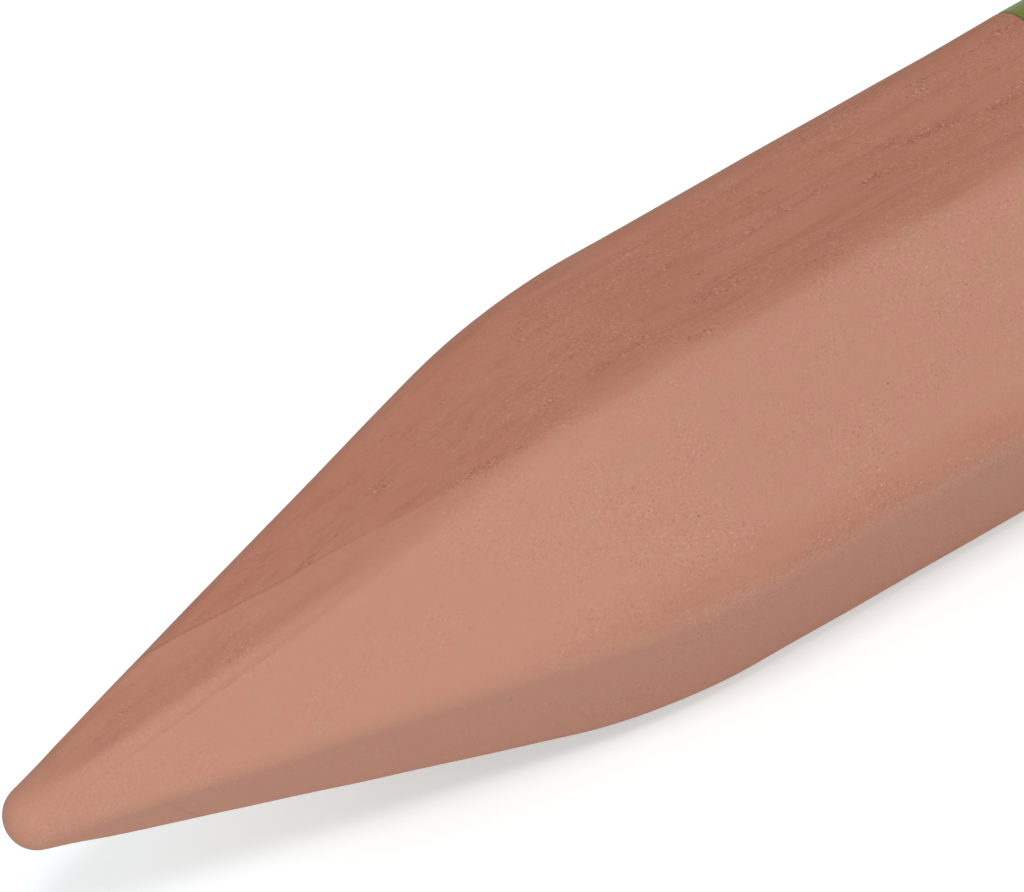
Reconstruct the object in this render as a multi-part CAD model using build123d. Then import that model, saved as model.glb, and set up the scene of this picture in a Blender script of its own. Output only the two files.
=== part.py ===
"""Self watering spike: a hollow porous clay spike with a screw head that takes a drinks bottle.

Every piece is first built upright, with the nose of the spike at zero and its axis along Z.
The finished pieces are then laid down: the axis runs along X, the nose points to -X, and the
spike lies on one flat of its hexagon at Z zero, centred on the origin in X and Y.
"""

import os
from math import acos, atan2, cos, degrees, hypot, sin, tan

from build123d import *

# Socket for the bottle, in millimetres. It sets the width of the head and so of the whole spike
bottle_socket_diameter = 27.9
bottle_socket_depth = 17.0
head_wall = 2.75
head_setback = 0.3

# Clay spike
clay_length = 114.5
tip_length = 59.5
nose_radius = 2.95
nose_step = 0.01
nose_round_share = 0.95
shoulder_radius = 76.0
ridge_radius = 5.2
tip_ridge_radius = 2.0
clay_wall = 4.0
cavity_end_apothem = 2.6
cavity_ridge_radius = 1.9
top_wall = 4.5
neck_step = 3.5
neck_length = 12.0
neck_wall = 4.0
neck_rim_chamfer = 0.8
sides = 6
ridge_growth = 2
tip_station_shares = (0.0, 0.1, 0.4, 0.65, 0.85)
shoulder_station_shares = (1.0, 0.8, 0.6, 0.4, 0.2, 0.0)

# Rubber sleeve on the clay neck
sleeve_wall = 1.2
sleeve_seat_gap = 0.2

# Green collar
collar_bore_clearance = 0.05
collar_deck = 2.2
collar_deck_clearance = 0.1
collar_edge_chamfer = 0.8
collar_ledge = 3.3
guide_length = 1.8
thread_height = 1.2
spigot_length = 9.2
spigot_wall = 2.0

# Gasket between the collar and the head
gasket_thickness = 1.5
gasket_bore_gap = 0.2
gasket_edge_gap = 0.1

# Screw head
guide_clearance = 0.08
head_running_gap = 0.3
partition_thickness = 3.0
mouth_chamfer = 0.7
skirt_chamfer = 0.5
head_edge_chamfer = 0.8
grip_count = 18
grip_radius = 2.0
grip_depth = 0.45
grip_band = 2.4

# Washer under the rim of the bottle, held in a shallow recess
washer_thickness = 2.0
washer_edge_gap = 0.15
washer_strainer_gap = 0.2
washer_recess_depth = 0.3
washer_headroom = 0.1

# Strainer that hangs in the partition of the head
strainer_side_gap = 1.5
strainer_rim_width = 2.0
strainer_rim_thickness = 1.2
strainer_clearance = 0.08
strainer_depth = 12.0
strainer_wall = 1.0
floor_slot_count = 6
floor_slot_width = 1.5
floor_slot_start = 2.6
floor_slot_margin = 1.0
slot_count = 10
slot_width = 1.5
slot_height = 5.5

# One length by which every cut runs past the face that it opens
overrun = 1.0

socket_radius = bottle_socket_diameter / 2
head_radius = socket_radius + head_wall
half_flats = head_radius + head_setback
facet_angle = acos(nose_radius / hypot(half_flats, tip_length - nose_radius)) - atan2(
    tip_length - nose_radius, half_flats
)
nose_end = nose_radius * (1 - sin(facet_angle))
shoulder_end = tip_length + shoulder_radius * tan(facet_angle / 2)
shoulder_height = half_flats - shoulder_radius

neck_end = clay_length + neck_length
sleeve_end = neck_end + sleeve_wall
deck_bottom = sleeve_end + collar_deck_clearance
deck_top = deck_bottom + collar_deck
spigot_end = deck_top + spigot_length
gasket_end = spigot_end + gasket_thickness
head_start = deck_top + head_running_gap
partition_end = gasket_end + partition_thickness
recess_end = partition_end + washer_thickness + washer_headroom
head_end = partition_end + bottle_socket_depth
rim_seat = partition_end - strainer_rim_thickness
overall_length = head_end

neck_radius = half_flats - neck_step
bore_radius = neck_radius - neck_wall
sleeve_radius = neck_radius + sleeve_wall
collar_bore_radius = sleeve_radius + collar_bore_clearance
guide_radius = half_flats - collar_ledge
spigot_radius = guide_radius - thread_height
waterway_radius = spigot_radius - spigot_wall
skirt_bore_radius = guide_radius + guide_clearance
recess_radius = socket_radius + washer_recess_depth
strainer_radius = waterway_radius - strainer_side_gap
rim_radius = strainer_radius + strainer_rim_width
strainer_end = partition_end - strainer_depth


def rod(radius, low, high):
    """A plain round rod on the axis between two heights."""
    return Pos(0, 0, low) * Cylinder(
        radius, high - low, align=(Align.CENTER, Align.CENTER, Align.MIN)
    )


def ring(outer, inner, low, high):
    """A plain ring round the axis between two heights."""
    return rod(outer, low, high) - rod(inner, low - overrun, high + overrun)


def turned(*points):
    """A solid turned round the axis from an outline of (radius, height) points."""
    outline = make_face(Plane.XZ * Polyline(*points, close=True))
    return revolve(outline, Axis.Z)


def hexagon(apothem, ridge, height):
    """A hexagon with rounded corners, square to the axis, its flats facing along X."""
    outline = RegularPolygon(apothem, sides, major_radius=False, rotation=180 / sides)
    return Pos(0, 0, height) * fillet(outline.vertices(), ridge)


def ridge_at(height, tip_ridge, body_ridge):
    """Ridges are tight at the nose and open out towards the shoulder."""
    share = min(max(height / tip_length, 0.0), 1.0)
    return tip_ridge + (body_ridge - tip_ridge) * share**ridge_growth


def stations(inset, start, end):
    """Heights and apothems of the sections of the spike, or of its cavity when inset by a wall."""
    arc = shoulder_radius - inset
    tip_end = shoulder_end - arc * sin(facet_angle)
    flat_distance = nose_radius - inset
    found = []
    for share in tip_station_shares:
        height = start + share * (tip_end - start)
        rise = (height - nose_radius) * sin(facet_angle)
        found.append((height, (flat_distance + rise) / cos(facet_angle)))
    for share in shoulder_station_shares:
        lean = share * facet_angle
        found.append((shoulder_end - arc * sin(lean), shoulder_height + arc * cos(lean)))
    found.append((end, half_flats - inset))
    return found


def spike_form(inset, start, end, start_ridge, tip_ridge, body_ridge):
    """Six flats that blend from a long taper into a prism."""
    first, *others = stations(inset, start, end)
    sections = [hexagon(first[1], start_ridge, first[0])]
    for height, apothem in others:
        sections.append(hexagon(apothem, ridge_at(height, tip_ridge, body_ridge), height))
    return loft(sections, ruled=True)


def nose_cap():
    """The end of the ball that the six flats of the taper run off, a hair inside them."""
    ball_radius = nose_radius - nose_step
    ball = Pos(0, 0, ball_radius) * Sphere(ball_radius)
    return ball & rod(nose_radius, -overrun, nose_end)


def make_clay_spike():
    """Hollow clay body with a stepped round neck."""
    nose_ridge = nose_round_share * nose_radius * cos(facet_angle)
    body = spike_form(0, nose_end, clay_length, nose_ridge, tip_ridge_radius, ridge_radius)
    neck = rod(neck_radius, clay_length, neck_end)
    neck = chamfer(neck.edges().group_by(Axis.Z)[-1], neck_rim_chamfer)
    cavity_start = nose_radius + (
        clay_wall - nose_radius + cavity_end_apothem * cos(facet_angle)
    ) / sin(facet_angle)
    ceiling = clay_length - top_wall
    cavity = spike_form(
        clay_wall,
        cavity_start,
        ceiling,
        cavity_ridge_radius,
        cavity_ridge_radius,
        cavity_ridge_radius,
    )
    bore = rod(bore_radius, ceiling - overrun, neck_end + overrun)
    return nose_cap() + body + neck - cavity - bore


def make_neck_sleeve():
    """Rubber sleeve that folds over the rim of the clay neck."""
    low = clay_length + sleeve_seat_gap
    wall = ring(sleeve_radius, neck_radius, low, neck_end)
    lip = ring(sleeve_radius, bore_radius, neck_end, sleeve_end)
    return wall + lip


def make_collar():
    """Hexagonal collar, flush with the clay, that carries the threaded spigot."""
    skirt = extrude(hexagon(half_flats, ridge_radius, clay_length), deck_top - clay_length)
    skirt = chamfer(skirt.faces().sort_by(Axis.Z)[-1].edges(), collar_edge_chamfer)
    spigot = turned(
        (0, deck_bottom),
        (guide_radius, deck_bottom),
        (guide_radius, deck_top + guide_length),
        (spigot_radius, deck_top + guide_length),
        (spigot_radius, spigot_end),
        (0, spigot_end),
    )
    seat = rod(collar_bore_radius, clay_length - overrun, deck_bottom)
    waterway = rod(waterway_radius, deck_bottom - overrun, spigot_end + overrun)
    return skirt + spigot - seat - waterway


def make_head_gasket():
    """Flat ring on the end of the spigot, held in the head."""
    return ring(
        skirt_bore_radius - gasket_edge_gap,
        waterway_radius + gasket_bore_gap,
        spigot_end,
        gasket_end,
    )


def make_bottle_head():
    """Ribbed head: a skirt over the spigot, a partition and a socket for the bottle."""
    blank = rod(head_radius, head_start, head_end)
    blank = chamfer(blank.edges().filter_by(GeomType.CIRCLE), head_edge_chamfer)
    flute = rod(grip_radius, head_start + grip_band, head_end - grip_band)
    flutes = PolarLocations(head_radius + grip_radius - grip_depth, grip_count) * flute
    skirt_inside = turned(
        (0, head_start - overrun),
        (skirt_bore_radius + skirt_chamfer + overrun, head_start - overrun),
        (skirt_bore_radius, head_start + skirt_chamfer),
        (skirt_bore_radius, gasket_end),
        (0, gasket_end),
    )
    socket = turned(
        (0, partition_end),
        (recess_radius, partition_end),
        (recess_radius, recess_end),
        (socket_radius, recess_end),
        (socket_radius, head_end - mouth_chamfer),
        (socket_radius + mouth_chamfer + overrun, head_end + overrun),
        (0, head_end + overrun),
    )
    port = turned(
        (0, gasket_end - overrun),
        (strainer_radius + strainer_clearance, gasket_end - overrun),
        (strainer_radius + strainer_clearance, rim_seat),
        (rim_radius + strainer_clearance, rim_seat),
        (rim_radius + strainer_clearance, partition_end + overrun),
        (0, partition_end + overrun),
    )
    return blank - list(flutes) - skirt_inside - socket - port


def make_bottle_washer():
    """Flat ring in the recess at the foot of the socket, round the rim of the strainer."""
    return ring(
        recess_radius - washer_edge_gap,
        rim_radius + strainer_clearance + washer_strainer_gap,
        partition_end,
        partition_end + washer_thickness,
    )


def make_strainer():
    """Perforated cup that hangs by its rim."""
    inner_radius = strainer_radius - strainer_wall
    rim = ring(rim_radius, inner_radius, rim_seat, partition_end)
    cup = rod(strainer_radius, strainer_end, rim_seat)
    hollow = rod(inner_radius, strainer_end + strainer_wall, rim_seat + overrun)
    floor_slot_end = inner_radius - floor_slot_margin
    floor_cutter = Pos((floor_slot_start + floor_slot_end) / 2, 0, strainer_end) * Box(
        floor_slot_end - floor_slot_start, floor_slot_width, 2 * (strainer_wall + overrun)
    )
    wall_cutter = Pos(strainer_radius, 0, (strainer_end + rim_seat) / 2) * Box(
        2 * strainer_wall + overrun, slot_width, slot_height
    )
    floor_slots = PolarLocations(0, floor_slot_count) * floor_cutter
    wall_slots = PolarLocations(0, slot_count) * wall_cutter
    return rim + cup - hollow - list(floor_slots) - list(wall_slots)


def main():
    pieces = {
        "clay_spike": make_clay_spike(),
        "neck_sleeve": make_neck_sleeve(),
        "collar": make_collar(),
        "head_gasket": make_head_gasket(),
        "bottle_head": make_bottle_head(),
        "bottle_washer": make_bottle_washer(),
        "strainer": make_strainer(),
    }
    lay_down = Pos(-overall_length / 2, 0, half_flats) * Rot(0, 90, 0)
    os.makedirs("parts", exist_ok=True)
    for name, piece in pieces.items():
        export_step(lay_down * piece, f"parts/{name}.step")
    print("facet angle", round(degrees(facet_angle), 2), "overall length", overall_length)


if __name__ == "__main__":
    main()
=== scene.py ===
"""Looks of the self watering spike, laid out as an add-on and run as a script.

Every size is in metres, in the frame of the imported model: the axis of the spike runs along X,
the nose points to -X, and the spike lies on one flat of its hexagon at Z zero. Along the axis,
places are counted from the nose. Round it, angles go from Y towards Z.
"""

import math

import bmesh
import bpy
import numpy as np
from mathutils import Matrix, Vector, noise


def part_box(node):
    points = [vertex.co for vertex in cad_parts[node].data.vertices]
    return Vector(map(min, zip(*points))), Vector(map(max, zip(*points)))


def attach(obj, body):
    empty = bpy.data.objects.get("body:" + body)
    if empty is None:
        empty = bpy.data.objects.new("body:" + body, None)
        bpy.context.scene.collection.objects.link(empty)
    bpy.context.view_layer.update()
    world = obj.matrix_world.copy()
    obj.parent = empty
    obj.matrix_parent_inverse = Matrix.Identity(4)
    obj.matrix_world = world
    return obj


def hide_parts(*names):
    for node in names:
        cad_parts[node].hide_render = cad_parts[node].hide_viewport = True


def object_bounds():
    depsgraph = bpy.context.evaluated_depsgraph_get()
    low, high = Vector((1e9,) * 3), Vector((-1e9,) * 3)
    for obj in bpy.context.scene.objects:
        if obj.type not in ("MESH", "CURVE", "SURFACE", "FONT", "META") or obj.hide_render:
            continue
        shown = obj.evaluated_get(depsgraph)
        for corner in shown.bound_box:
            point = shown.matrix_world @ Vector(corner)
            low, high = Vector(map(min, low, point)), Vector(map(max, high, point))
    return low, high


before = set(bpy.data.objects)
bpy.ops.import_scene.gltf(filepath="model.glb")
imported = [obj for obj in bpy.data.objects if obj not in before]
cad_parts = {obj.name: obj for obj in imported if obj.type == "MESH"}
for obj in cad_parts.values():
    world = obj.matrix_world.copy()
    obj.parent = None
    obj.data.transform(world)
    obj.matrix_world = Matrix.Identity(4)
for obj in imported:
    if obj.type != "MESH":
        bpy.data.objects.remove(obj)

bl_info = {
    "name": "Self watering spike",
    "version": (1, 0, 0),
    "blender": (4, 5, 0),
    "location": "View3D > Sidebar > Spike",
    "description": "Builds the clay body, the seals and the screw head of a self watering spike",
    "category": "Object",
}

MM = 0.001
SIDES = 6
SIDE_ANGLE = math.tau / SIDES

# Angles of the points in a ring of a mesh, and the ways that they lie from the axis
STEPS_PER_SIDE = 36
ANGLES = np.linspace(0, math.tau, SIDES * STEPS_PER_SIDE + 1)[:-1]
WAYS = np.column_stack([np.cos(ANGLES), np.sin(ANGLES)])
# Points round the head for each grip flute
STEPS_PER_GRIP = 20
# Rings of the nose, of the small edge behind the clay's body, and of its cavity
NOSE_RINGS, EDGE_RINGS, CAVITY_RINGS = 12, 3, 40
# Steps between rings along a threaded wall and along a plain one
THREAD_STEP, WALL_STEP = 0.2 * MM, 0.4 * MM
# Two radii nearer than this are the same wall, and two points nearer than half of it are one
CLOSE = 0.002 * MM
# Steps of each rounded edge, and how close to it the straight stretches have a point of their own
ARC_STEPS, HOLD = 4, 0.06 * MM
# Edges that turn more than this stay sharp when shaded
CRISP = math.radians(35)
# A plane that faces a point less than this, as a cosine, doesn't cut there
SLANT = 0.2
# Waves that hand finishing leaves: their length, their width and how deep each goes, as a share
WAVES = ((26 * MM, 9 * MM, 0.38), (7 * MM, 3 * MM, 0.12))
# Lengths over which that unevenness starts behind the nose and ends before the collar
CALM_NOSE, CALM_END = 6 * MM, 8 * MM

# Settings that many nodes of the materials share
SMOOTH = {"interpolation_type": "SMOOTHSTEP"}
PRODUCT = {"operation": "MULTIPLY"}
PRODUCT_SUM = {"operation": "MULTIPLY_ADD"}
COLOURS = {"data_type": "RGBA"}

# Places of the pieces along the axis and their reach from it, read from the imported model
model_low, model_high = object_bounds()
START = model_low.x
HALF_FLATS = (model_high.z - model_low.z) / 2
AXIS_HEIGHT = model_low.z + HALF_FLATS


def span(node):
    """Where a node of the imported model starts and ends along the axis, and its reach from it."""
    low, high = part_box(node)
    return low.x - START, high.x - START, (high.y - low.y) / 2


NECK_END = span("clay_spike")[1]
CLAY_END, SPIGOT_END, _ = span("collar")
SLEEVE_START, SLEEVE_END, SLEEVE_REACH = span("neck_sleeve")
GASKET_START, GASKET_END, GASKET_REACH = span("head_gasket")
HEAD_START, HEAD_END, HEAD_REACH = span("bottle_head")
WASHER_START, WASHER_END, WASHER_REACH = span("bottle_washer")


def linear(hex_colour):
    """An sRGB hex colour as linear red, green, blue and alpha."""
    channels = [int(hex_colour[i : i + 2], 16) / 255 for i in (1, 3, 5)]
    return [c / 12.92 if c <= 0.04045 else ((c + 0.055) / 1.055) ** 2.4 for c in channels] + [1.0]


def length(name, description, millimetres):
    """A length property, its default given in millimetres."""
    return bpy.props.FloatProperty(
        name=name,
        description=description,
        default=millimetres * MM,
        min=0.0,
        unit="LENGTH",
        precision=5,
    )


def pair(name, description, along, across):
    """Two lengths or places in millimetres, along the axis and across it."""
    return bpy.props.FloatVectorProperty(
        name=name,
        description=description,
        default=(along * MM, across * MM),
        size=2,
        unit="LENGTH",
        precision=5,
    )


def colour(name, description, hex_colour):
    """A colour property, its default given as an sRGB hex colour."""
    return bpy.props.FloatVectorProperty(
        name=name,
        description=description,
        default=linear(hex_colour),
        size=4,
        min=0.0,
        max=1.0,
        subtype="COLOR",
    )


def power(name, description, watts):
    """The power of a lamp, in watts."""
    return bpy.props.FloatProperty(
        name=name, description=description, default=watts, min=0.0, unit="POWER"
    )


def angle(name, description, degrees):
    """An angle property, its default given in degrees."""
    return bpy.props.FloatProperty(
        name=name, description=description, default=math.radians(degrees), subtype="ANGLE"
    )


class ClaySettings(bpy.types.PropertyGroup):
    """Sizes and colours of the clay body."""

    tip_length: length("Tip length", "From the nose to the crease of the shoulder", 59.5)
    nose_radius: length("Nose radius", "Radius of the round nose", 2.95)
    nose_blend: length("Nose blend", "Where the ridges have grown out of the round nose", 7.1)
    shoulder_radius: length("Shoulder radius", "Radius that blends the taper into the body", 76.0)
    ridge: length("Ridge radius", "Rounding of the ridges of the body", 5.2)
    tip_ridge: length("Tip ridge radius", "Rounding of the ridges at the nose", 2.0)
    end_edge: length("End edge", "Rounding of the edge that meets the collar", 0.25)
    wall: length("Wall", "Thickness of the clay", 4.0)
    top_wall: length("Top wall", "Thickness of the clay under the neck", 4.5)
    neck_radius: length("Neck radius", "Radius of the round neck", 13.5)
    neck_bore: length("Neck bore", "Radius of the bore in the neck", 9.5)
    rim_edge: length("Rim edge", "Rounding of the rim of the neck", 0.8)
    cavity_end: length("Cavity end", "Half width of the cavity at its narrow end", 2.6)
    cavity_ridge: length("Cavity ridge radius", "Rounding of the ridges of the cavity", 1.9)
    ring_step: length("Ring step", "Distance between the rings of the mesh", 0.5)
    unevenness: length("Unevenness", "How far hand finishing leaves the clay low", 0.22)
    seam_near: pair("Seam near", "Where the fettled seam starts on its flat of the tip", 20.0, 2.8)
    seam_far: pair("Seam far", "Where the fettled seam ends on its flat of the tip", 51.0, -6.8)
    seam_depth: length("Seam depth", "The most that was scraped off along the seam", 0.35)
    seam_edge: length("Seam edge", "Half width of the broken edge of the fettled seam", 0.25)
    seam_waver: length("Seam waver", "How far the fettled seam strays from a straight line", 0.8)
    seam_turn: angle("Seam turn", "Angle between the fettled seam and the flat beside it", 7.0)
    # Lean of the scraped flats, whose deeper tone is partly painted shade on the upper flat
    scrape_and_shade_lean: angle("Scrape lean", "How far the scraping leans off the middle of its flat", 8.0)
    scrape_skew: angle("Scrape skew", "Slope of the scraper's marks against the axis", -7.0)
    patches: pair("Patches", "Size of the soft patches of ochre and rose", 2.0, 1.5)
    waver: pair("Waver", "Size of the bends in the edges of the scraping", 14.0, 3.0)
    # The deeper parts carry the painted shade of the scraped flats as well as their scraping
    depths: pair("Depths", "Size of the deeper and paler parts of the scraping", 10.0, 4.0)
    streaks: pair("Streaks", "Size of the streaks of the scraper", 12.0, 1.1)
    scratches: pair("Scratches", "Size of the long fine scratches", 20.0, 0.5)
    torn: pair("Torn spots", "Size of the spots where the scraper tore the skin", 7.0, 1.6)
    grit: pair("Grit", "Size of the parts where more grit lies bare", 9.0, 5.0)
    sand_grain: length("Sand grain", "Size of the grains of sand", 0.25)
    pit_spacing: length("Pit spacing", "Distance between places that may have a pit", 2.4)
    relief: length("Relief", "Height of the sand, streaks, scratches and pits", 0.05)
    warm: colour("Warm clay", "The ochre tone of the fired clay", "#c58f78")
    rosy: colour("Rosy clay", "The rosy tone of the fired clay", "#c68d79")
    # Partly painted shade: this deeper, redder tone makes the upper flat darker, as the light that
    # falls on it does
    scraped_and_shaded: colour("Scraped clay", "The deeper tone where the clay was scraped", "#be8069")
    deep: colour("Deep clay", "The tone in pits and along scratches", "#8f5746")
    sand: colour("Sand", "The tone of pale grains of sand", "#e3bfa8")


class HeadSettings(bpy.types.PropertyGroup):
    """Sizes and colours of the collar, the screw head and the seals."""

    seat_radius: length("Seat radius", "Radius of the bore that holds the rubber sleeve", 14.75)
    deck: length("Deck", "Thickness of the collar under its threaded spigot", 2.2)
    deck_gap: length("Deck gap", "Space between the deck and the sleeve", 0.1)
    collar_edge: length("Collar edge", "Rounding of the upper edge of the collar", 0.8)
    waterway: length("Waterway", "Radius of the bore through the spigot", 10.5)
    guide_radius: length("Guide radius", "Radius of the plain band under the thread", 13.7)
    guide_length: length("Guide length", "Length of the plain band under the thread", 1.8)
    thread_root: length("Thread root", "Radius of the spigot between its threads", 12.5)
    thread_height: length("Thread height", "How far each thread stands up", 1.1)
    pitch: length("Pitch", "Travel of the head in one turn", 4.0)
    skirt_bore: length("Skirt bore", "Radius of the bore that goes over the spigot", 13.78)
    partition: length("Partition", "Thickness of the wall between the two sockets", 3.0)
    socket_radius: length("Socket radius", "Radius at the root of the bottle's thread", 13.95)
    recess_radius: length("Recess radius", "Radius of the recess that keeps the washer", 14.25)
    recess_height: length("Recess height", "Height of the recess that keeps the washer", 2.1)
    bottle_pitch: length("Bottle pitch", "Pitch of the thread for the bottle", 2.7)
    mouth_plain: length("Mouth plain", "Plain wall between the mouth and that thread", 3.0)
    port_radius: length("Port radius", "Radius of the port that the strainer hangs in", 9.08)
    rim_radius: length("Rim radius", "Radius of the recess for the strainer's rim", 11.08)
    rim_depth: length("Rim depth", "Depth of the recess for the strainer's rim", 1.2)
    grip_radius: length("Grip radius", "Radius of the grip flutes", 2.0)
    grip_depth: length("Grip depth", "Depth of the grip flutes", 0.45)
    grip_band: length("Grip band", "Plain band at each end of the grip flutes", 2.4)
    grip_end: length("Grip end", "Length over which each flute runs out", 1.2)
    head_edge: length("Head edge", "Rounding of the edges of the head", 0.8)
    mouth_edge: length("Mouth edge", "Lead-in at the mouth of the socket", 0.7)
    skirt_edge: length("Skirt edge", "Lead-in at the foot of the skirt", 0.5)
    strainer_edge: length("Strainer edge", "Rounding of the edges of the strainer", 0.12)
    small_edge: length("Small edge", "Rounding of the edges of seals and inner steps", 0.2)
    etch: length("Etch", "Size of the grain of the etched mould", 0.3)
    etch_depth: length("Etch depth", "Height of that grain", 0.02)
    sheen: pair("Sheen", "Size of the duller and glossier patches of the plastic", 9.0, 6.0)
    bloom: length("Bloom", "Size of the patches of bloom on the rubber", 3.0)
    grips: bpy.props.IntProperty(
        name="Grips", description="Number of grip flutes", default=18, min=3
    )
    green: colour("Green", "The colour of the moulded green plastic", "#6e7b22")
    rubber: colour("Rubber", "The colour of the seals", "#2a2928")
    natural: colour("Natural", "The colour of the undyed strainer", "#e2e0d4")


class StageSettings(bpy.types.PropertyGroup):
    """The camera, the lights and the floor."""

    distance: length("Camera distance", "From the camera to the middle of the picture", 2400.0)
    pixel: length("Pixel", "Size of one pixel at the middle of the picture", 0.0812)
    tilt: angle("Tilt", "How far the nose points at the camera", 26.8)
    turn: angle("Turn", "How far the facing flat is turned down from the camera", 12.5)
    lean: angle("Lean", "Slope of the axis in the picture", 29.5)
    sky: bpy.props.FloatProperty(
        name="Sky", description="Light from all round the object", default=0.5, min=0.0
    )
    lamp_distance: length("Lamp distance", "From each lamp to the object", 1400.0)
    high_power: power("High power", "Power of the lamp over the nose", 6.2)
    high_turn: angle("High turn", "Turn of the lamp over the nose towards the nose", 42.0)
    high_rise: angle("High rise", "Height of the lamp over the nose", 55.0)
    high_size: length("High size", "Width of the lamp over the nose", 400.0)
    front_power: power("Front power", "Power of the lamp in front", 4.0)
    front_turn: angle("Front turn", "Turn of the lamp in front towards the nose", 30.0)
    front_rise: angle("Front rise", "Height of the lamp in front", 10.0)
    front_size: length("Front size", "Width of the lamp in front", 900.0)
    floor_half: length("Floor half width", "Half the width of the floor", 4000.0)
    glow: bpy.props.FloatProperty(
        name="Glow", description="What brings the lit floor to white in the picture", default=0.45
    )
    glow_tint: colour("Glow tint", "A trace cool, against the warm light off the clay", "#faffff")
    paper: colour("Paper", "The colour of the floor", "#eaf3f5")


def feed(tree, socket, value):
    """Sets a socket to a number or a colour, or links an output or a node's first output to it."""
    if isinstance(value, bpy.types.Node):
        value = next(output for output in value.outputs if output.enabled)
    if isinstance(value, bpy.types.NodeSocket):
        tree.links.new(value, socket)
    else:
        socket.default_value = value


def add(tree, kind, inputs=(), **settings):
    """Adds a node with its settings, and sets or links its inputs, by name or in order."""
    node = tree.nodes.new("ShaderNode" + kind)
    for key, value in settings.items():
        setattr(node, key, value)
    if isinstance(inputs, dict):
        pairs = [(node.inputs[name], value) for name, value in inputs.items()]
    else:
        pairs = zip([socket for socket in node.inputs if socket.enabled], inputs)
    for socket, value in pairs:
        feed(tree, socket, value)
    return node


def new_material(name):
    """A material with an empty tree but for its shader and its output."""
    material = bpy.data.materials.new(name)
    material.use_nodes = True
    tree = material.node_tree
    tree.nodes.clear()
    shader = add(tree, "BsdfPrincipled")
    add(tree, "OutputMaterial", {"Surface": shader})
    return material, tree, shader


def grain(tree, place, size, detail=2.0, turn=0.0, roughness=0.5, bend=0.0):
    """A pattern with grains of a length along X and a width across it, turned about Z and bent."""
    along, across = size
    scale = (1 / along, 1 / across, 1 / across)
    sized = add(tree, "Mapping", {"Vector": place, "Rotation": (0, 0, turn), "Scale": scale})
    look = {"Scale": 1.0, "Detail": detail, "Roughness": roughness, "Distortion": bend}
    return add(tree, "TexNoise", {"Vector": sized, **look})


def within(tree, pattern, low, high, where):
    """A pattern's smooth step between two values, up or down, within the part that may have it."""
    step = add(tree, "MapRange", (pattern, low, high), **SMOOTH)
    return add(tree, "Math", (step, where), **PRODUCT)


def fettled_seam(tree, clay, parts, waver):
    """Where the mould seam was scraped off: its thin broken edge, and the band beside it."""
    (near_x, near_y), (far_x, far_y) = clay.seam_near, clay.seam_far
    slope = (far_y - near_y) / (far_x - near_x)
    # How far a point lies to one side of the seam, which has its mate on the lower flat
    side = add(tree, "Math", (parts["Z"], AXIS_HEIGHT), operation="SUBTRACT")
    side = add(tree, "Math", [side], operation="SIGN")
    offset = slope * (START + near_x) - near_y
    across = add(tree, "Math", (parts["Y"], side, offset), **PRODUCT_SUM)
    across = add(tree, "Math", (parts["X"], -slope, across), **PRODUCT_SUM)
    across = add(tree, "Math", (across, clay.seam_waver / 2), operation="SUBTRACT")
    across = add(tree, "Math", (waver, clay.seam_waver, across), **PRODUCT_SUM)

    # The edge comes in before the near end of the seam and fades towards the far end. It is
    # deepest at its crack, and the band beside it starts over a narrow strip.
    fade_in, fade_out = 12 * MM, 8 * MM
    crack, strip = 0.03 * MM, (0.2 * MM, -0.4 * MM)
    start = add(tree, "MapRange", (parts["X"], START + near_x - fade_in, START + near_x), **SMOOTH)
    ends = within(tree, parts["X"], START + far_x, START + near_x, start)
    aside = add(tree, "Math", [across], operation="ABSOLUTE")
    edge = within(tree, aside, clay.seam_edge, crack, ends)
    tip = add(tree, "MapRange", (parts["X"], START + far_x + fade_out, START + far_x), **SMOOTH)
    return edge, within(tree, across, *strip, tip)


def facing(tree, parts, lean):
    """Cosine of the angle round the axis from straight up, leant by an angle towards Y."""
    height = add(tree, "Math", (parts["Z"], AXIS_HEIGHT), operation="SUBTRACT")
    squares = add(tree, "Math", (height, height), **PRODUCT)
    squares = add(tree, "Math", (parts["Y"], parts["Y"], squares), **PRODUCT_SUM)
    reach = add(tree, "Math", [squares], operation="SQRT")
    leant = add(tree, "Math", (parts["Y"], math.sin(lean)), **PRODUCT)
    leant = add(tree, "Math", (height, math.cos(lean), leant), **PRODUCT_SUM)
    return add(tree, "Math", (leant, reach), operation="DIVIDE")


def worked_and_shaded_clay(tree, clay, parts, waver, band, body):
    """Where the clay was scraped, on two flats, with a deeper tone that is partly painted shade,
    and a darker band just over the ridges beside the body.
    """
    # The scraped and shaded part of the lower flat is a little narrower than that of the upper one
    upright = facing(tree, parts, clay.scrape_and_shade_lean)
    under = add(tree, "Math", (upright, -1, -0.08), **PRODUCT_SUM)
    upright = add(tree, "Math", (upright, under), operation="MAXIMUM")
    upright = add(tree, "Math", (waver, 0.06, upright), **PRODUCT_SUM)
    beside_seam = add(tree, "MapRange", (band, 1, 0, 0.55), **SMOOTH)
    # Partly painted shade: the scraped flats take the deeper tone, which darkens and reddens the
    # upper flat as its light does
    scraped_and_shaded = within(tree, upright, 0.82, 0.91, beside_seam)
    nose = add(tree, "MapRange", (parts["X"], START, START + clay.nose_blend), **SMOOTH)

    # The darker, redder band lies just over the ridges at the sides, on the body alone
    level = add(tree, "Math", (waver, 0.1, facing(tree, parts, 0)), **PRODUCT_SUM)
    foot = add(tree, "MapRange", (level, 0, 0.08, 0, 0.55), **SMOOTH)
    ridge_band = within(tree, level, 0.3, 0.14, foot)
    ridge_band = add(tree, "Math", (ridge_band, body), **PRODUCT)
    return add(tree, "Math", (scraped_and_shaded, nose, ridge_band), **PRODUCT_SUM)


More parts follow.
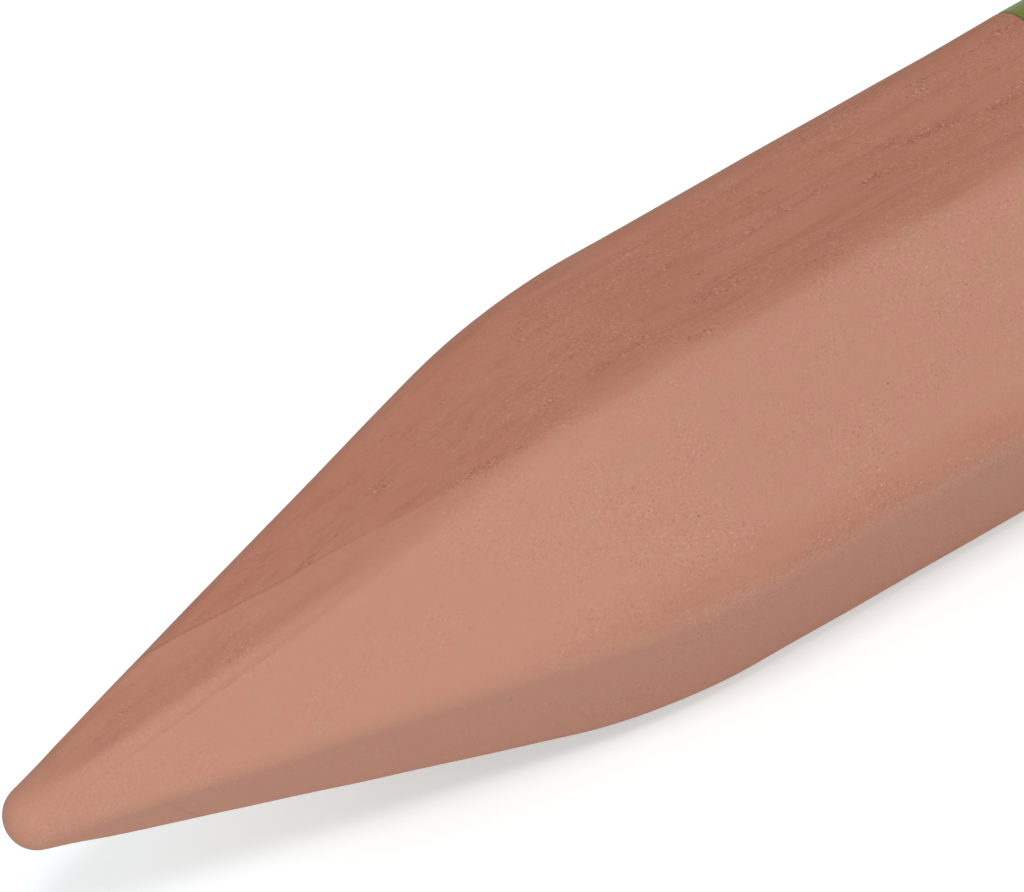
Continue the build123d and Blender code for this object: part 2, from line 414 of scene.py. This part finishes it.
def fired_terracotta(clay):
    """Unglazed terracotta, pressed in a mould, scraped along its length and fired.

    The eye sees a dull, faintly sandy skin in soft patches of ochre and rose, with more grit bare
    on the body than on the tip. The two flats that were scraped have a deeper streaked tone, long
    fine scratches and torn spots, and small pits are scattered all over. The deeper tone is partly
    painted shade, which makes the upper flat darker and redder as the light that falls on it does.
    """
    material, tree, shader = new_material("fired_terracotta")
    place = add(tree, "TexCoord").outputs["Object"]
    parts = add(tree, "SeparateXYZ", [place]).outputs
    waver = grain(tree, place, clay.waver)
    edge, band = fettled_seam(tree, clay, parts, waver)
    shoulder = (START + clay.tip_length * 2 / 3, START + clay.tip_length)
    body = add(tree, "MapRange", (parts["X"], *shoulder), **SMOOTH)
    scraped_and_shaded = worked_and_shaded_clay(tree, clay, parts, waver, band, body)

    skew = clay.scrape_skew
    patches = grain(tree, place, clay.patches, 3.0)
    patches = add(tree, "MapRange", (patches, 0.38, 0.62), **SMOOTH)
    depths = grain(tree, place, clay.depths, 2.0, skew)
    depths = add(tree, "MapRange", (depths, 0.65, 0.35, 0.75), **SMOOTH)
    depths = add(tree, "Math", (scraped_and_shaded, depths), **PRODUCT)
    streaks = grain(tree, place, clay.streaks, 3.0, skew, 0.6, 0.5)
    scratches = grain(tree, place, clay.scratches, 1.0, 2 * skew, bend=0.3)
    scratches = within(tree, scratches, 0.66, 0.72, scraped_and_shaded)
    torn = within(tree, grain(tree, place, clay.torn, 2.0, skew), 0.6, 0.7, scraped_and_shaded)

    # Grit lies bare in parts, half as much of it on the tip as on the body
    sand = grain(tree, place, (clay.sand_grain, clay.sand_grain), 3.0, roughness=0.7)
    gritty = grain(tree, place, clay.grit, 3.0)
    gritty = add(tree, "MapRange", (gritty, 0.42, 0.6, 0.3), **SMOOTH)
    worn = add(tree, "Math", (body, 0.5, 0.5), **PRODUCT_SUM)
    gritty = add(tree, "Math", (gritty, worn), **PRODUCT)

    # A pit is the middle of a cell, and only some cells have one
    cells = add(tree, "TexVoronoi", {"Vector": place, "Scale": 1 / clay.pit_spacing}).outputs
    some = add(tree, "MapRange", (cells["Color"], 0.62, 0.67), **SMOOTH)
    pits = within(tree, cells["Distance"], 0.05, 0.02, some)

    tone = add(tree, "Mix", (patches, clay.warm[:], clay.rosy[:]), **COLOURS)
    # Partly painted shade: the deeper tone of the scraped flats makes the upper flat darker and
    # redder, as its light does
    tone = add(tree, "Mix", (depths, tone, clay.scraped_and_shaded[:]), **COLOURS)
    # Where each mark shows, and how much of the deep tone it takes
    marks = (
        (within(tree, streaks, 0.42, 0.75, scraped_and_shaded), 0.2),
        (scratches, 0.07),
        (edge, 0.25),
        (within(tree, sand, 0.45, 0.62, torn), 0.5),
        (within(tree, sand, 0.55, 0.75, gritty), 0.6),
        (pits, 0.35),
    )
    for mark, strength in marks:
        share = add(tree, "Math", (mark, strength), **PRODUCT)
        tone = add(tree, "Mix", (share, tone, clay.deep[:]), **COLOURS)
    sandy = add(tree, "Math", (gritty, 0.5), **PRODUCT)
    sandy = add(tree, "Math", (torn, 0.5, sandy), **PRODUCT_SUM)
    glint = within(tree, sand, 0.44, 0.26, sandy)
    tone = add(tree, "Mix", (glint, tone, clay.sand[:]), **COLOURS)
    feed(tree, shader.inputs["Base Color"], tone)

    shader.inputs["Roughness"].default_value = 0.85
    shader.inputs["IOR"].default_value = 1.5
    shader.inputs["Specular IOR Level"].default_value = 0.25
    coarse = add(tree, "Math", (body, 0.8, 0.4), **PRODUCT_SUM)
    height = add(tree, "Math", (sand, coarse), **PRODUCT)
    height = add(tree, "Math", (streaks, scraped_and_shaded, height), **PRODUCT_SUM)
    for mark, depth in ((scratches, -0.4), (edge, -1.0), (pits, -1.5)):
        height = add(tree, "Math", (mark, depth, height), **PRODUCT_SUM)
    bump = add(tree, "Bump", {"Distance": clay.relief, "Height": height})
    feed(tree, shader.inputs["Normal"], bump)
    return material


def moulded_polypropylene(name, tint, head):
    """Polypropylene, injection moulded in a finely etched mould.

    The eye sees a soft satin skin with a faint even grain, a little duller in wide soft patches.
    The real grain is about a tenth of a millimetre, and is drawn coarser so that it shows.
    """
    material, tree, shader = new_material(name)
    place = add(tree, "TexCoord").outputs["Object"]
    shader.inputs["Base Color"].default_value = tint
    shader.inputs["IOR"].default_value = 1.49
    shader.inputs["Specular IOR Level"].default_value = 0.3
    sheen = grain(tree, place, head.sheen)
    sheen = add(tree, "MapRange", (sheen, 0.3, 0.7, 0.42, 0.55), **SMOOTH)
    feed(tree, shader.inputs["Roughness"], sheen)
    etch = grain(tree, place, (head.etch, head.etch))
    bump = add(tree, "Bump", {"Distance": head.etch_depth, "Strength": 0.6, "Height": etch})
    feed(tree, shader.inputs["Normal"], bump)
    return material


def moulded_rubber(head):
    """Nitrile rubber, pressed in a plain mould: nearly black and dull, with a trace of bloom."""
    material, tree, shader = new_material("moulded_rubber")
    place = add(tree, "TexCoord").outputs["Object"]
    shader.inputs["Base Color"].default_value = head.rubber[:]
    shader.inputs["IOR"].default_value = 1.52
    bloom = grain(tree, place, (head.bloom, head.bloom), 4.0)
    bloom = add(tree, "MapRange", (bloom, 0.3, 0.7, 0.55, 0.75), **SMOOTH)
    feed(tree, shader.inputs["Roughness"], bloom)
    return material


def hexagon(apothem, ridge):
    """Distances from the axis to a hexagon with rounded corners, at the angles of a ring."""
    ridge = min(ridge, apothem)
    off_corner = (ANGLES + SIDE_ANGLE / 2) % SIDE_ANGLE - SIDE_ANGLE / 2
    off_flat = SIDE_ANGLE / 2 - np.abs(off_corner)
    centre = (apothem - ridge) / math.cos(SIDE_ANGLE / 2)
    inside = np.maximum(ridge**2 - (centre * np.sin(off_corner)) ** 2, 0)
    arc = centre * np.cos(off_corner) + np.sqrt(inside)
    on_flat = apothem * np.tan(off_flat) < (apothem - ridge) * math.tan(SIDE_ANGLE / 2)
    return np.where(on_flat, apothem / np.cos(off_flat), arc)


def ring(x, reach, angles=ANGLES):
    """Points round the axis at a place along it, at one distance from it or at one for each."""
    along = np.full(len(angles), x)
    return np.column_stack([along, reach * np.cos(angles), reach * np.sin(angles)])


def rounded(corners):
    """The points (x, radius) of a closed outline whose corners (x, radius, rounding) are rounded.

    A point close before and after each arc keeps the straight stretches flat when shaded.
    """
    points = []
    for number, (x, radius, rounding) in enumerate(corners):
        here = Vector((x, radius))
        if not rounding:
            points.append(here)
            continue
        before = (Vector(corners[number - 1][:2]) - here).normalized()
        after = (Vector(corners[(number + 1) % len(corners)][:2]) - here).normalized()
        half = before.angle(after) / 2
        reach = rounding / math.tan(half)
        centre = here + (before + after).normalized() * rounding / math.sin(half)
        start, end = here + before * reach - centre, here + after * reach - centre
        points.append(here + before * (reach + HOLD))
        for step in range(ARC_STEPS + 1):
            points.append(centre + start.slerp(end, step / ARC_STEPS) * rounding)
        points.append(here + after * (reach + HOLD))
    return [tuple(point) for point in points]


def same(radius, wall):
    """Whether a point of an outline lies on a straight wall."""
    return math.isclose(radius, wall, abs_tol=CLOSE)


def divided(points, threaded):
    """Adds points along the straight walls of a closed outline, more of them to a thread."""
    found = []
    for number, (x, radius) in enumerate(points):
        step = THREAD_STEP if any(same(radius, wall) for wall in threaded) else WALL_STEP
        next_x, next_radius = points[(number + 1) % len(points)]
        parts = max(1, math.ceil(abs(next_x - x) / step))
        for part in range(parts):
            share = part / parts
            found.append((x + (next_x - x) * share, radius + (next_radius - radius) * share))
    return found


def thread(x, angles, pitch, start, end):
    """Height of a screw thread, as a share, at a place along the axis and the angles round it."""
    crest, base, run_out = 0.24 * pitch, 0.44 * pitch, 0.12 * pitch
    first = start + pitch * angles / math.tau
    middle = first + pitch * np.round((x - first) / pitch)
    flank = np.clip((base / 2 - np.abs(x - middle)) / ((base - crest) / 2), 0, 1)
    inside = np.minimum(middle - start, end - middle) - base / 2
    return flank * np.clip(inside / run_out, 0, 1)


def guide_end(head):
    """Where the thread of the spigot starts, above its plain band."""
    return SLEEVE_END + head.deck_gap + head.deck + head.guide_length


def skin(name, rings, body, node, material, ends=None):
    """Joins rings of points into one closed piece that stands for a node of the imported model.

    With ends, two places on the axis, the first and last rings close on a point there.
    Otherwise the last ring joins the first.
    """
    count = len(rings[0])
    loops = len(rings) - (1 if ends else 0)
    faces = []
    for number in range(loops):
        here, there = number * count, (number + 1) % len(rings) * count
        for step in range(count):
            after = (step + 1) % count
            faces.append((here + after, there + after, there + step, here + step))
    points = np.concatenate(rings)
    if ends:
        points = np.concatenate([points, [(x, 0, 0) for x in ends]])
        last = (len(rings) - 1) * count
        for step in range(count):
            after = (step + 1) % count
            faces.append((len(points) - 2, after, step))
            faces.append((len(points) - 1, last + step, last + after))
    points = points + (START, 0, AXIS_HEIGHT)
    mesh = bpy.data.meshes.new(name)
    mesh.from_pydata(points.tolist(), [], faces)
    mesh.polygons.foreach_set("use_smooth", [True] * len(mesh.polygons))
    mesh.set_sharp_from_angle(angle=CRISP)
    mesh.materials.append(material)
    piece = bpy.data.objects.new(name, mesh)
    bpy.context.scene.collection.objects.link(piece)
    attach(piece, body)
    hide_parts(node)


def facet_angle(clay):
    """Angle between the axis and the flats of the tip."""
    reach = clay.tip_length - clay.nose_radius
    cosine = clay.nose_radius / math.hypot(HALF_FLATS, reach)
    return math.acos(cosine) - math.atan2(reach, HALF_FLATS)


def apothem_at(clay, x, inset):
    """Distance from the axis to a flat at a distance from the nose, less a wall."""
    lean = facet_angle(clay)
    arc = clay.shoulder_radius - inset
    before = clay.tip_length + clay.shoulder_radius * math.tan(lean / 2) - x
    if before <= 0:
        return HALF_FLATS - inset
    if before < arc * math.sin(lean):
        return HALF_FLATS - clay.shoulder_radius + math.sqrt(arc**2 - before**2)
    return (clay.nose_radius - inset + (x - clay.nose_radius) * math.sin(lean)) / math.cos(lean)


def outside(clay, x):
    """Distances from the axis to the outside: round at the nose, where the flats run off a ball.

    The ridges are tight on the tip and wide on the body.
    """
    nose_end = clay.nose_radius * (1 - math.sin(facet_angle(clay)))
    if x < nose_end:
        reach = math.sqrt(clay.nose_radius**2 - (clay.nose_radius - x) ** 2)
        return hexagon(reach, reach)
    apothem = apothem_at(clay, x, 0)
    ridge = clay.tip_ridge + (clay.ridge - clay.tip_ridge) * min(x / clay.tip_length, 1.0) ** 2
    grown = min((x - nose_end) / (clay.nose_blend - nose_end), 1.0)
    return hexagon(apothem, apothem + (ridge - apothem) * grown)


def seam_planes(clay):
    """Normals and distances of two flats that were scraped along the mould seam of the tip.

    Each meets a flat of the tip in a line that crosses it and nears a ridge at the shoulder,
    and leans from that flat by a few degrees.
    """
    near, far = (
        Vector((x, y, apothem_at(clay, x, 0))) for x, y in (clay.seam_near, clay.seam_far)
    )
    flat = Vector((-math.sin(facet_angle(clay)), 0, math.cos(facet_angle(clay))))
    normal = Matrix.Rotation(clay.seam_turn, 3, (far - near).normalized()) @ flat
    other = Vector((normal.x, -normal.y, -normal.z))
    return [(normal, normal.dot(near)), (other, normal.dot(near))]


def hand_finished(clay, x, reach):
    """Distances to the outside of the clay, scraped flat along the seam and left uneven."""
    if x < clay.tip_length:
        lowest = reach - clay.seam_depth * min(1.0, x / clay.seam_near[0])
        for normal, distance in seam_planes(clay):
            towards = WAYS @ np.array(normal.yz)
            plane = (distance - normal.x * x) / np.maximum(towards, SLANT)
            reach = np.where(towards > SLANT, np.clip(plane, lowest, reach), reach)
    calm = min(1.0, x / CALM_NOSE, (CLAY_END - x) / CALM_END)
    # The waves rise and fall about half of the unevenness
    low = np.full(len(ANGLES), 0.5)
    for along, across, share in WAVES:
        for number, (y, z) in enumerate(WAYS * reach[:, None]):
            low[number] += share * noise.noise((x / along, y / across, z / across))
    return reach - clay.unevenness * calm * low


def clay_rings(clay):
    """Rings of the clay's outside, neck, bore and cavity, and the place where the cavity ends."""
    edge = clay.end_edge
    body_end = CLAY_END - edge
    turns = np.linspace(0, math.pi / 2 - facet_angle(clay), NOSE_RINGS + 1)[1:]
    places = [clay.nose_radius * (1 - math.cos(turn)) for turn in turns]
    steps = round((body_end - places[-1]) / clay.ring_step)
    places += list(np.linspace(places[-1], body_end, steps + 1)[1:])
    rings = [ring(x, hand_finished(clay, x, outside(clay, x))) for x in places]
    for turn in np.linspace(0, math.pi / 2, EDGE_RINGS + 1)[1:]:
        inset = edge * (1 - math.cos(turn))
        x = body_end + edge * math.sin(turn)
        rings.append(ring(x, hexagon(HALF_FLATS - inset, clay.ridge - inset)))
    ceiling = CLAY_END - clay.top_wall
    neck = rounded(
        [
            (CLAY_END, clay.neck_radius, 0),
            (NECK_END, clay.neck_radius, clay.rim_edge),
            (NECK_END, clay.neck_bore, clay.rim_edge / 2),
            (ceiling, clay.neck_bore, 0),
        ]
    )
    rings += [ring(x, radius) for x, radius in neck]
    lean = facet_angle(clay)
    drop = clay.wall - clay.nose_radius + clay.cavity_end * math.cos(lean)
    cavity_start = clay.nose_radius + drop / math.sin(lean)
    for x in np.linspace(ceiling, cavity_start, CAVITY_RINGS):
        rings.append(ring(x, hexagon(apothem_at(clay, x, clay.wall), clay.cavity_ridge)))
    return rings, cavity_start


class SPIKE_OT_clay_body(bpy.types.Operator):
    """Build the hollow clay body with its neck"""

    bl_idname = "spike.clay_body"
    bl_label = "Clay body"

    def execute(self, context):
        clay = context.scene.spike_clay
        rings, cavity_start = clay_rings(clay)
        material = fired_terracotta(clay)
        skin(
            "clay_body", rings, "spike", "clay_spike", material, (0, cavity_start)
        )
        return {"FINISHED"}


class SPIKE_OT_seals(bpy.types.Operator):
    """Build the rubber sleeve of the neck, the gasket of the head and the washer of the bottle"""

    bl_idname = "spike.seals"
    bl_label = "Seals"

    def execute(self, context):
        clay, head = context.scene.spike_clay, context.scene.spike_head
        edge = head.small_edge
        rubber = moulded_rubber(head)
        sleeve = [
            (SLEEVE_START, clay.neck_radius, edge),
            (SLEEVE_START, SLEEVE_REACH, edge),
            (SLEEVE_END, SLEEVE_REACH, 2 * edge),
            (SLEEVE_END, clay.neck_bore, edge),
            (NECK_END, clay.neck_bore, edge),
            (NECK_END, clay.neck_radius, 0),
        ]
        self.turned("neck_seal", sleeve, "spike", "neck_sleeve", rubber)
        gasket = self.flat(GASKET_START, GASKET_END, head.waterway + edge, GASKET_REACH, edge)
        self.turned("head_seal", gasket, "gasket", "head_gasket", rubber)
        washer = self.flat(WASHER_START, WASHER_END, head.rim_radius + edge, WASHER_REACH, edge)
        self.turned("bottle_seal", washer, "head", "bottle_washer", rubber)
        return {"FINISHED"}

    def flat(self, low, high, inner, outer, edge):
        """Corners of the section of a flat ring."""
        corners = ((low, inner), (low, outer), (high, outer), (high, inner))
        return [(x, radius, edge) for x, radius in corners]

    def turned(self, name, section, body, node, material):
        """A seal turned round the axis."""
        rings = [ring(x, radius) for x, radius in rounded(section)]
        skin(name, rings, body, node, material)


class SPIKE_OT_collar(bpy.types.Operator):
    """Build the hexagonal collar with its threaded spigot"""

    bl_idname = "spike.collar"
    bl_label = "Collar"

    def execute(self, context):
        clay, head = context.scene.spike_clay, context.scene.spike_head
        edge = head.small_edge
        thread_start = guide_end(head)
        deck_high = thread_start - head.guide_length
        deck_low = deck_high - head.deck
        section = [
            (CLAY_END, HALF_FLATS, edge),
            (deck_high, HALF_FLATS, head.collar_edge),
            (deck_high, head.guide_radius, edge),
            (thread_start, head.guide_radius, edge),
            (thread_start, head.thread_root, 0),
            (SPIGOT_END, head.thread_root, edge),
            (SPIGOT_END, head.waterway, edge),
            (deck_low, head.waterway, edge),
            (deck_low, head.seat_radius, 0),
            (CLAY_END, head.seat_radius, edge),
        ]
        hexagonal_from = (HALF_FLATS + head.seat_radius) / 2
        rings = []
        for x, radius in divided(rounded(section), [head.thread_root]):
            reach = radius
            if radius > hexagonal_from:
                reach = hexagon(radius, clay.ridge - (HALF_FLATS - radius))
            if same(radius, head.thread_root):
                share = thread(x, ANGLES, head.pitch, thread_start, SPIGOT_END)
                reach = radius + head.thread_height * share
            rings.append(ring(x, reach))
        green = moulded_polypropylene("moulded_green_polypropylene", head.green[:], head)
        skin("hex_collar", rings, "spike", "collar", green)
        return {"FINISHED"}


class SPIKE_OT_screw_head(bpy.types.Operator):
    """Build the screw head with its grip flutes and its two threads"""

    bl_idname = "spike.screw_head"
    bl_label = "Screw head"

    def execute(self, context):
        head = context.scene.spike_head
        edge = head.small_edge
        partition_end = GASKET_END + head.partition
        recess_end = partition_end + head.recess_height
        rim_seat = partition_end - head.rim_depth
        section = [
            (HEAD_START, HEAD_REACH, head.head_edge),
            (HEAD_END, HEAD_REACH, head.head_edge),
            (HEAD_END, head.socket_radius + head.mouth_edge, edge),
            (HEAD_END - head.mouth_edge, head.socket_radius, edge),
            (recess_end, head.socket_radius, 0),
            (recess_end, head.recess_radius, 0),
            (partition_end, head.recess_radius, 0),
            (partition_end, head.rim_radius, edge),
            (rim_seat, head.rim_radius, 0),
            (rim_seat, head.port_radius, edge),
            (GASKET_END, head.port_radius, edge),
            (GASKET_END, head.skirt_bore, 0),
            (HEAD_START + head.skirt_edge, head.skirt_bore, edge),
            (HEAD_START, head.skirt_bore + head.skirt_edge, edge),
        ]
        angles = np.linspace(0, math.tau, STEPS_PER_GRIP * head.grips + 1)[:-1]
        flutes = self.flutes(head, angles)
        # The thread of the skirt lies half a pitch beside the spigot's, which it runs in
        threads = (
            (head.skirt_bore, head.pitch, guide_end(head) + head.pitch / 2, GASKET_START),
            (head.socket_radius, head.bottle_pitch, recess_end, HEAD_END - head.mouth_plain),
        )
        rings = []
        for x, radius in divided(rounded(section), [wall for wall, *_ in threads]):
            reach = radius
            if same(radius, HEAD_REACH):
                reach = radius - flutes * self.depth(head, x)
            for wall, pitch, start, end in threads:
                if same(radius, wall):
                    reach = radius - head.thread_height * thread(x, angles, pitch, start, end)
            rings.append(ring(x, reach, angles))
        green = bpy.data.materials["moulded_green_polypropylene"]
        skin("screw_head", rings, "head", "bottle_head", green)
        return {"FINISHED"}

    def flutes(self, head, angles):
        """Depth of the grip flutes at the angles round the head, one of them at the foot."""
        centre = HEAD_REACH + head.grip_radius - head.grip_depth
        step = math.tau / head.grips
        offset = (angles + (math.pi + step) / 2) % step - step / 2
        inside = np.maximum(head.grip_radius**2 - (centre * np.sin(offset)) ** 2, 0)
        depth = HEAD_REACH - centre * np.cos(offset) + np.sqrt(inside)
        return np.maximum(depth, 0) * (inside > 0)

    def depth(self, head, x):
        """How much of the flutes' depth is left near the plain bands at the ends of the head."""
        inside = min(x - HEAD_START, HEAD_END - x) - head.grip_band
        share = min(max(inside / head.grip_end, 0), 1)
        return math.sin(share * math.pi / 2)


class SPIKE_OT_strainer(bpy.types.Operator):
    """Build the slotted strainer cup with the soft edges of a moulding"""

    bl_idname = "spike.strainer"
    bl_label = "Strainer"

    def execute(self, context):
        head = context.scene.spike_head
        flat, corner = math.radians(0.5), math.radians(40)
        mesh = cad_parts["strainer"].data.copy()
        mesh.name = "strainer_cup"
        shape = bmesh.new()
        shape.from_mesh(mesh)
        bmesh.ops.remove_doubles(shape, verts=shape.verts, dist=CLOSE / 2)
        bmesh.ops.dissolve_limit(shape, angle_limit=flat, verts=shape.verts, edges=shape.edges)
        bmesh.ops.bevel(
            shape,
            geom=[side for side in shape.edges if side.calc_face_angle(0) > corner],
            offset=head.strainer_edge,
            segments=2,
            profile=0.5,
            affect="EDGES",
            clamp_overlap=True,
        )
        shape.to_mesh(mesh)
        shape.free()
        mesh.polygons.foreach_set("use_smooth", [True] * len(mesh.polygons))
        mesh.set_sharp_from_angle(angle=corner)
        white = moulded_polypropylene("moulded_natural_polypropylene", head.natural[:], head)
        mesh.materials.clear()
        mesh.materials.append(white)
        piece = bpy.data.objects.new("strainer_cup", mesh)
        context.scene.collection.objects.link(piece)
        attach(piece, "strainer")
        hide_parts("strainer")
        return {"FINISHED"}


class SPIKE_OT_stage(bpy.types.Operator):
    """Set up the camera, the floor and the lights"""

    bl_idname = "spike.stage"
    bl_label = "Stage"

    picture = (1024, 892)
    nose_pixel = (9.6, 831.0)

    def execute(self, context):
        stage = context.scene.spike_stage
        self.make_camera(context, stage)
        self.make_floor(context, stage)
        self.make_world(context, stage)
        high = (stage.high_power, stage.high_turn, stage.high_rise, stage.high_size)
        self.make_lamp(context, stage, "high_softbox", *high)
        front = (stage.front_power, stage.front_turn, stage.front_rise, stage.front_size)
        self.make_lamp(context, stage, "front_softbox", *front)
        context.scene.view_settings.view_transform = "Standard"
        return {"FINISHED"}

    def make_camera(self, context, stage):
        """The camera looks from the side of the nose, over the facing flat."""
        side = SIDE_ANGLE / 2 + stage.turn
        across = math.cos(stage.tilt)
        back = Vector((-math.sin(stage.tilt), -across * math.cos(side), across * math.sin(side)))
        axis = Vector((1, 0, 0))
        along = (axis - axis.dot(back) * back).normalized()
        beside = back.cross(along)
        right = math.cos(stage.lean) * along - math.sin(stage.lean) * beside
        up = math.sin(stage.lean) * along + math.cos(stage.lean) * beside
        width, height = self.picture
        to_right = (width / 2 - self.nose_pixel[0]) * stage.pixel
        to_top = (self.nose_pixel[1] - height / 2) * stage.pixel
        aim = Vector((START, 0, AXIS_HEIGHT)) + right * to_right + up * to_top
        data = bpy.data.cameras.new("camera")
        data.lens = data.sensor_width * stage.distance / (width * stage.pixel)
        data.clip_start, data.clip_end = stage.distance / 20, stage.distance * 10
        camera = bpy.data.objects.new("camera", data)
        context.scene.collection.objects.link(camera)
        turn = Matrix((right, up, back)).transposed().to_4x4()
        camera.matrix_world = Matrix.Translation(aim + back * stage.distance) @ turn
        context.scene.camera = camera

    def make_floor(self, context, stage):
        """Matt white paper that still shows a shadow where the camera sees it as white."""
        half = stage.floor_half
        corners = [(-half, -half, 0), (half, -half, 0), (half, half, 0), (-half, half, 0)]
        mesh = bpy.data.meshes.new("paper_floor")
        mesh.from_pydata(corners, [], [(0, 1, 2, 3)])
        floor = bpy.data.objects.new("paper_floor", mesh)
        context.scene.collection.objects.link(floor)
        material, tree, shader = new_material("matt_white_paper")
        shader.inputs["Base Color"].default_value = stage.paper[:]
        shader.inputs["Roughness"].default_value = 1.0
        shader.inputs["Specular IOR Level"].default_value = 0.0
        shader.inputs["Emission Color"].default_value = stage.glow_tint[:]
        glow = add(tree, "Math", (self.seen(tree), stage.glow), **PRODUCT)
        feed(tree, shader.inputs["Emission Strength"], glow)
        mesh.materials.append(material)

    def make_world(self, context, stage):
        """An even white room, white where it is seen or mirrored."""
        world = bpy.data.worlds.new("white_room")
        world.use_nodes = True
        tree = world.node_tree
        tree.nodes.clear()
        strength = (self.seen(tree), 1 - stage.sky, stage.sky)
        strength = add(tree, "Math", strength, **PRODUCT_SUM)
        sky = add(tree, "Background", {"Color": (1, 1, 1, 1), "Strength": strength})
        add(tree, "OutputWorld", {"Surface": sky})
        context.scene.world = world

    def seen(self, tree):
        """One for rays from the camera, mirrored rays and rays that went through glass."""
        ray = add(tree, "LightPath").outputs
        mirrored = (ray["Is Glossy Ray"], ray["Is Transmission Ray"])
        mirrored = add(tree, "Math", mirrored, operation="MAXIMUM")
        return add(tree, "Math", (ray["Is Camera Ray"], mirrored), operation="MAXIMUM")

    def make_lamp(self, context, stage, name, watts, turn, rise, size):
        """A round softbox that faces the object from the front, turned towards the nose."""
        light = bpy.data.lights.new(name, "AREA")
        light.shape = "DISK"
        light.size = size
        light.energy = watts
        lamp = bpy.data.objects.new(name, light)
        context.scene.collection.objects.link(lamp)
        level = math.cos(rise)
        towards = Vector((-math.sin(turn) * level, -math.cos(turn) * level, math.sin(rise)))
        lamp.location = Vector((0, 0, AXIS_HEIGHT)) + towards * stage.lamp_distance
        lamp.rotation_euler = towards.to_track_quat("Z", "Y").to_euler()


class SPIKE_PT_panel(bpy.types.Panel):
    """Buttons that build the spike"""

    bl_idname = "SPIKE_PT_panel"
    bl_label = "Self watering spike"
    bl_space_type = "VIEW_3D"
    bl_region_type = "UI"
    bl_category = "Spike"

    def draw(self, context):
        for operator in OPERATORS:
            self.layout.operator(operator.bl_idname)


SETTINGS = {"spike_clay": ClaySettings, "spike_head": HeadSettings, "spike_stage": StageSettings}
OPERATORS = (
    SPIKE_OT_stage,
    SPIKE_OT_clay_body,
    SPIKE_OT_seals,
    SPIKE_OT_collar,
    SPIKE_OT_screw_head,
    SPIKE_OT_strainer,
)


def register():
    for name, group in SETTINGS.items():
        bpy.utils.register_class(group)
        setattr(bpy.types.Scene, name, bpy.props.PointerProperty(type=group))
    for part in (*OPERATORS, SPIKE_PT_panel):
        bpy.utils.register_class(part)


def unregister():
    for part in (SPIKE_PT_panel, *reversed(OPERATORS)):
        bpy.utils.unregister_class(part)
    for name, group in reversed(SETTINGS.items()):
        delattr(bpy.types.Scene, name)
        bpy.utils.unregister_class(group)


def main():
    register()
    bpy.ops.spike.stage()
    bpy.ops.spike.clay_body()
    bpy.ops.spike.seals()
    bpy.ops.spike.collar()
    bpy.ops.spike.screw_head()
    bpy.ops.spike.strainer()


if __name__ == "__main__":
    main()
